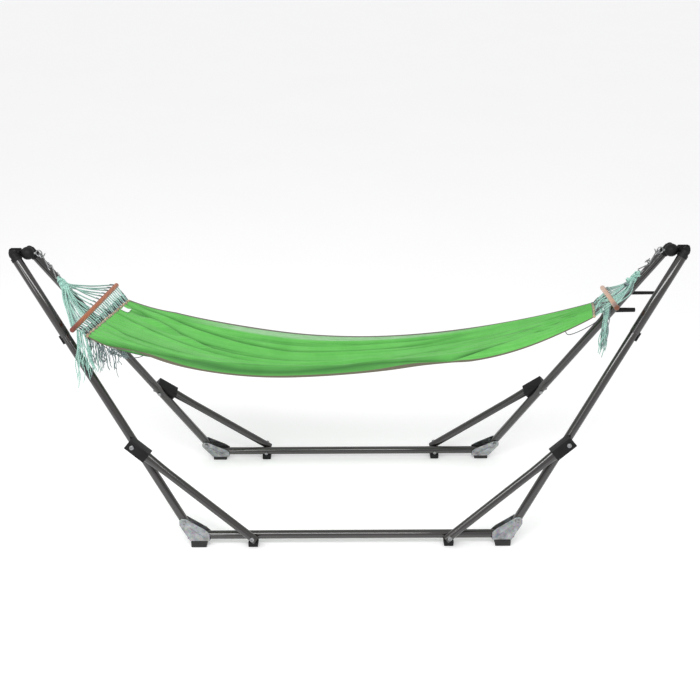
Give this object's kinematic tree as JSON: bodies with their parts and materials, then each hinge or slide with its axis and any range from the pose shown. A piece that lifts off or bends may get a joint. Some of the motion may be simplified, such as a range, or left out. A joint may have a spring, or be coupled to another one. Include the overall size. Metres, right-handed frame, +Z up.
{
  "type": "hammock on folding stand",
  "caption": "Folding tube-frame hammock stand with two hinged side frames and a cloth hammock slung between wooden spreader bars on S-hooks.",
  "frame": {"origin": "centre of the footprint, on the floor", "axes": "+X along the hammock, +Y across it towards the frame with the side arms, +Z up"},
  "size_m": [2.2852, 0.655, 1.0118],
  "materials": {
    "paint": "semi-gloss dark brown-black powder coat",
    "plastic": "matte black moulding",
    "rubber": "matte black",
    "zinc": "zinc plated sheet",
    "steel": "plated fasteners and hooks",
    "wood": "varnished orange-brown",
    "cloth": "bright green woven cloth",
    "cord": "pale mint twisted cord"
  },
  "bodies": {
    "near_frame": {"near_left_leg": "paint", "near_left_top": "plastic", "near_left_gusset": "zinc", "near_left_foot": "rubber", "near_left_strut": "paint", "near_left_strut_foot": "plastic", "near_left_strut_saddle": "plastic", "near_left_pivot_bolt": "steel", "near_left_strut_bolt": "steel", "near_left_saddle_bolt": "steel", "near_right_leg": "paint", "near_right_top": "plastic", "near_right_gusset": "zinc", "near_right_foot": "rubber", "near_right_strut": "paint", "near_right_strut_foot": "plastic", "near_right_strut_saddle": "plastic", "near_right_pivot_bolt": "steel", "near_right_strut_bolt": "steel", "near_right_saddle_bolt": "steel", "near_rail": "paint", "near_left_leg_clip": "plastic", "near_right_leg_clip": "plastic", "left_eye": "steel", "right_eye": "steel"},
    "far_frame": {"far_left_leg": "paint", "far_left_top": "plastic", "far_left_gusset": "zinc", "far_left_foot": "rubber", "far_left_strut": "paint", "far_left_strut_foot": "plastic", "far_left_strut_saddle": "plastic", "far_left_pivot_bolt": "steel", "far_left_strut_bolt": "steel", "far_left_saddle_bolt": "steel", "far_right_leg": "paint", "far_right_top": "plastic", "far_right_gusset": "zinc", "far_right_foot": "rubber", "far_right_strut": "paint", "far_right_strut_foot": "plastic", "far_right_strut_saddle": "plastic", "far_right_pivot_bolt": "steel", "far_right_strut_bolt": "steel", "far_right_saddle_bolt": "steel", "far_rail": "paint", "side_arm_upper": "plastic", "side_arm_lower": "plastic"},
    "hammock": {"hammock_bed": "cloth", "left_upper_hook": "steel", "left_lower_hook": "steel", "left_end_cords": "cord", "left_spreader_bar": "wood", "left_tassel": "cord", "right_upper_hook": "steel", "right_lower_hook": "steel", "right_end_cords": "cord", "right_spreader_bar": "wood", "right_tassel": "cord"}
  },
  "joints": [
    {"name": "frames_close", "type": "hinge", "parent": "near_frame", "child": "far_frame", "pos_m": [0, 0, 0.99], "axis": [-1, 0, 0], "range_deg": [0, 29.5]},
    {"name": "hammock_swing", "type": "hinge", "parent": "near_frame", "child": "hammock", "pos_m": [0, 0, 0.99], "axis": [1, 0, 0], "range_deg": [-25, 25], "deforming": ["left_tassel", "right_tassel"]}
  ]
}
